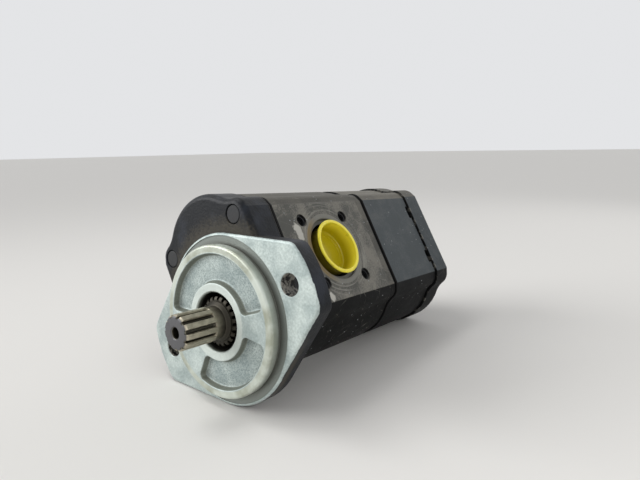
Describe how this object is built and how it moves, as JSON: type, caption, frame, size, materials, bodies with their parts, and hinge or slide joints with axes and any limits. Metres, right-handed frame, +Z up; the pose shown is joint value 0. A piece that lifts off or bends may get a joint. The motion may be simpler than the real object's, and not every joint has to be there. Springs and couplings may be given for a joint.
{
  "type": "hydraulic gear pump",
  "caption": "Tandem hydraulic gear pump lying on its side: two-bolt flange with round pilot, splined shaft, long and short iron sections, capped side ports, sunk long bolts.",
  "frame": {"origin": "centre of the base of the overall box: the plane is the surface that the pump lies on", "axes": "+Y is the long way, from the shaft end towards the rear cover (the shaft line itself dips 3.5 degrees from it); +Z is up; +X is towards the side with the suction port"},
  "size_m": [0.1286, 0.222, 0.1141],
  "materials": {
    "zinc_plated_iron": "zinc-plated casting with a machined pilot",
    "black_painted_iron": "satin black paint on cast iron",
    "gear_steel": "ground and lightly oiled",
    "blackened_bolt_steel": "black oxide",
    "bearing_block_aluminium": "machined",
    "bush_bronze": "turned",
    "black_rubber": "moulded",
    "yellow_plastic": "thin translucent moulding"
  },
  "bodies": {
    "housing": {"front_cover": "zinc_plated_iron", "front_body": "black_painted_iron", "intermediate_plate": "black_painted_iron", "rear_body": "black_painted_iron", "rear_cover": "black_painted_iron", "shaft_seal": "black_rubber", "front_fore_block": "bearing_block_aluminium", "front_fore_block_seal": "black_rubber", "front_fore_idler_bush": "bush_bronze", "front_fore_drive_bush": "bush_bronze", "front_aft_block": "bearing_block_aluminium", "front_aft_block_seal": "black_rubber", "front_aft_idler_bush": "bush_bronze", "front_aft_drive_bush": "bush_bronze", "rear_fore_block": "bearing_block_aluminium", "rear_fore_block_seal": "black_rubber", "rear_fore_idler_bush": "bush_bronze", "rear_fore_drive_bush": "bush_bronze", "rear_aft_block": "bearing_block_aluminium", "rear_aft_block_seal": "black_rubber", "rear_aft_idler_bush": "bush_bronze", "rear_aft_drive_bush": "bush_bronze", "front_cover_seal": "black_rubber", "plate_front_seal": "black_rubber", "plate_rear_seal": "black_rubber", "rear_cover_seal": "black_rubber", "upper_right_bolt": "blackened_bolt_steel", "upper_left_bolt": "blackened_bolt_steel", "lower_right_bolt": "blackened_bolt_steel", "lower_left_bolt": "blackened_bolt_steel", "front_cover_right_dowel": "gear_steel", "front_cover_left_dowel": "gear_steel", "plate_right_dowel": "gear_steel", "plate_left_dowel": "gear_steel", "rear_cover_right_dowel": "gear_steel", "rear_cover_left_dowel": "gear_steel"},
    "drive_line": {"drive_shaft": "gear_steel", "coupling_sleeve": "gear_steel", "rear_drive_gear": "gear_steel"},
    "front_idler": {"front_idler_gear": "gear_steel"},
    "rear_idler": {"rear_idler_gear": "gear_steel"},
    "suction_cap": {"suction_cap": "yellow_plastic"},
    "front_pressure_cap": {"front_pressure_cap": "yellow_plastic"},
    "rear_pressure_cap": {"rear_pressure_cap": "yellow_plastic"}
  },
  "joints": [
    {"name": "shaft_spin", "type": "hinge", "parent": "housing", "child": "drive_line", "pos_m": [0, -0.0788, 0.04755], "axis": [0, -0.9982, 0.0603], "continuous": true},
    {"name": "front_idler_spin", "type": "hinge", "parent": "housing", "child": "front_idler", "pos_m": [-0.01778, -0.01413, 0.075], "axis": [0, -0.9982, 0.0603], "continuous": true},
    {"name": "rear_idler_spin", "type": "hinge", "parent": "housing", "child": "rear_idler", "pos_m": [-0.01778, 0.06243, 0.07037], "axis": [0, -0.9982, 0.0603], "continuous": true},
    {"name": "suction_cap_pull", "type": "slide", "parent": "housing", "child": "suction_cap", "axis": [0.8695, 0.0298, 0.493], "range_m": [0, 0.02]},
    {"name": "front_pressure_cap_pull", "type": "slide", "parent": "housing", "child": "front_pressure_cap", "axis": [-0.8695, -0.0298, -0.493], "range_m": [0, 0.015]},
    {"name": "rear_pressure_cap_pull", "type": "slide", "parent": "housing", "child": "rear_pressure_cap", "axis": [-0.8695, -0.0298, -0.493], "range_m": [0, 0.015]}
  ],
  "couplings": [
    {"joint": "front_idler_spin", "follows": "shaft_spin", "ratio": -1},
    {"joint": "rear_idler_spin", "follows": "shaft_spin", "ratio": -1}
  ]
}
